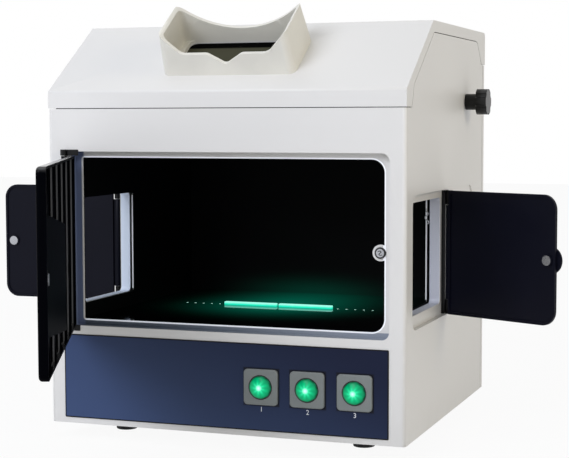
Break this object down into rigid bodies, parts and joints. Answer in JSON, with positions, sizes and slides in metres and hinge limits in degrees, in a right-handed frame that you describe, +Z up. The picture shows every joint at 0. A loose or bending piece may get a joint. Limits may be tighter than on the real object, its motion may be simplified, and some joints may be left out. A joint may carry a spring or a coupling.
{
  "type": "uv analyzer cabinet",
  "caption": "Bench cabinet with a dark chamber for viewing samples under ultraviolet lamps, with a hooded window, a front door, side ports and push buttons.",
  "frame": {"origin": "on the bench, under the middle of the closed cabinet body", "axes": "+X to the right as seen from the front, +Y to the back, +Z up"},
  "size_m": [0.6522, 0.6681, 0.4454],
  "materials": {
    "panel_white": "powder coated",
    "chamber_black": "matte black",
    "floor_black": "gloss black",
    "fascia_navy": "satin print",
    "bezel_grey": "satin",
    "lens_green": "lit",
    "switch_black": "moulded",
    "door_black": "satin",
    "bracket_black": "satin",
    "hood_cream": "moulded",
    "window_dark": "dark glass",
    "frame_black": "moulded",
    "filter_violet": "dark glass",
    "tube_clear": "clear",
    "tube_dark": "dark blue glass",
    "cap_metal": "satin",
    "socket_white": "moulded",
    "housing_grey": "rolled",
    "knob_black": "moulded",
    "steel": "plated",
    "magnet_bright": "nickel plated",
    "bush_white": "moulded",
    "rubber_black": "matte",
    "foam_black": "foam",
    "ballast_white": "satin",
    "light_box": "satin",
    "diffuser_green": "lit",
    "inlet_black": "moulded",
    "brass": "plain",
    "lead_black": "sheathed"
  },
  "bodies": {
    "cabinet": {"base_pan": "panel_white", "rubber_feet": "rubber_black", "foot_screws": "steel", "front_panel": "panel_white", "front_door_frame": "panel_white", "side_panel_right": "panel_white", "side_panel_left": "panel_white", "port_frames": "panel_white", "rear_panel": "panel_white", "chamber_wall_front": "chamber_black", "chamber_wall_right": "chamber_black", "chamber_wall_left": "chamber_black", "chamber_wall_back": "chamber_black", "chamber_floor": "floor_black", "floor_rails": "chamber_black", "spotting_light_box": "light_box", "spotting_diffusers": "diffuser_green", "spotting_pips": "diffuser_green", "control_fascia": "fascia_navy", "power_inlet": "inlet_black", "inlet_pins": "brass", "inlet_lead": "lead_black", "ballasts": "ballast_white", "case_screws": "steel", "door_hinge_brackets": "bracket_black", "door_hinge_pins": "steel", "door_magnets": "magnet_bright", "pivot_bushes": "bush_white", "lid_seal": "foam_black", "lid_hinge_lower": "steel", "lid_hinge_pins": "steel", "button_bezel_1": "bezel_grey", "button_bezel_2": "bezel_grey", "button_bezel_3": "bezel_grey", "switch_body_1": "switch_black", "switch_body_2": "switch_black", "switch_body_3": "switch_black"},
    "lid": {"lid_shell": "panel_white", "viewing_hood": "hood_cream", "window_glass": "window_dark", "window_frame": "frame_black", "lid_screws": "steel", "lid_hinge_upper": "steel"},
    "lamp_unit": {"lamp_housing": "housing_grey", "filter_glass": "filter_violet", "uv_tubes_shortwave": "tube_clear", "uv_tubes_longwave": "tube_dark", "tube_caps": "cap_metal", "lamp_sockets": "socket_white", "lamp_shafts": "steel", "lamp_knob": "knob_black"},
    "front_door": {"front_door": "door_black", "front_door_keeper": "magnet_bright"},
    "side_door_right": {"side_door_right": "door_black", "side_keeper_right": "magnet_bright"},
    "side_door_left": {"side_door_left": "door_black", "side_keeper_left": "magnet_bright"},
    "button_1": {"button_lens_1": "lens_green"},
    "button_2": {"button_lens_2": "lens_green"},
    "button_3": {"button_lens_3": "lens_green"}
  },
  "joints": [
    {"name": "lid_hinge", "type": "hinge", "parent": "cabinet", "child": "lid", "pos_m": [0, 0.177, 0.3921], "axis": [-1, 0, 0], "range_deg": [0, 100]},
    {"name": "front_door_hinge", "type": "hinge", "parent": "cabinet", "child": "front_door", "pos_m": [-0.171, -0.176, 0.2073], "axis": [0, 0, -1], "range_deg": [-66, 60]},
    {"name": "side_door_right_hinge", "type": "hinge", "parent": "cabinet", "child": "side_door_right", "pos_m": [0.1925, -0.0095, 0.1909], "axis": [0, 0, 1], "range_deg": [-64, 98]},
    {"name": "side_door_left_hinge", "type": "hinge", "parent": "cabinet", "child": "side_door_left", "pos_m": [-0.1925, -0.0095, 0.1909], "axis": [0, 0, -1], "range_deg": [-87.5, 74.5]},
    {"name": "lamp_tilt", "type": "hinge", "parent": "cabinet", "child": "lamp_unit", "pos_m": [0, 0.0766, 0.3489], "axis": [1, 0, 0], "range_deg": [-30, 25]},
    {"name": "button_1_press", "type": "slide", "parent": "cabinet", "child": "button_1", "axis": [0, 1, 0], "range_m": [0, 0.003], "stiffness_N_per_m": 400},
    {"name": "button_2_press", "type": "slide", "parent": "cabinet", "child": "button_2", "axis": [0, 1, 0], "range_m": [0, 0.003], "stiffness_N_per_m": 400},
    {"name": "button_3_press", "type": "slide", "parent": "cabinet", "child": "button_3", "axis": [0, 1, 0], "range_m": [0, 0.003], "stiffness_N_per_m": 400}
  ]
}
